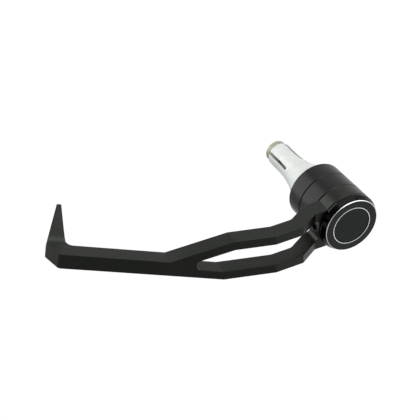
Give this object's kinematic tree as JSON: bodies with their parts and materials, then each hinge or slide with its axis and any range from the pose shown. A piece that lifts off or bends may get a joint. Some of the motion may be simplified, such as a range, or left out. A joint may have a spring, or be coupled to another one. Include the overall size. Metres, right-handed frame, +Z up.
{
  "type": "brake lever guard",
  "caption": "Forked black aluminium lever guard with a curled hook, on a bar-end barrel with two spacer rings and an expanding sleeve.",
  "frame": {"origin": "on the bar axis, in the middle of the straight part of the expander sleeve", "axes": "+Y along the bar axis towards the sleeve's tip, the guard arm reaches to -X, +Z up"},
  "size_m": [0.1617, 0.0822, 0.0444],
  "materials": {
    "arm_anodised": "satin black anodised",
    "cap_anodised": "glossy black anodised with bright turned chamfers",
    "disc_anodised": "satin black anodised",
    "ring_anodised": "satin black anodised",
    "plain_aluminium": "matt turned",
    "plated_nut": "matt plated",
    "plated_steel": "satin plated",
    "black_steel": "satin"
  },
  "bodies": {
    "root": {"guard_arm": "arm_anodised", "end_cap": "cap_anodised", "cover_disc": "disc_anodised", "front_ring": "ring_anodised", "rear_ring": "ring_anodised", "expander_sleeve": "plain_aluminium", "cone_nut": "plated_nut", "clamp_bolt": "plated_steel", "bolt_washer": "plated_steel", "grub_screw": "black_steel"}
  },
  "joints": []
}
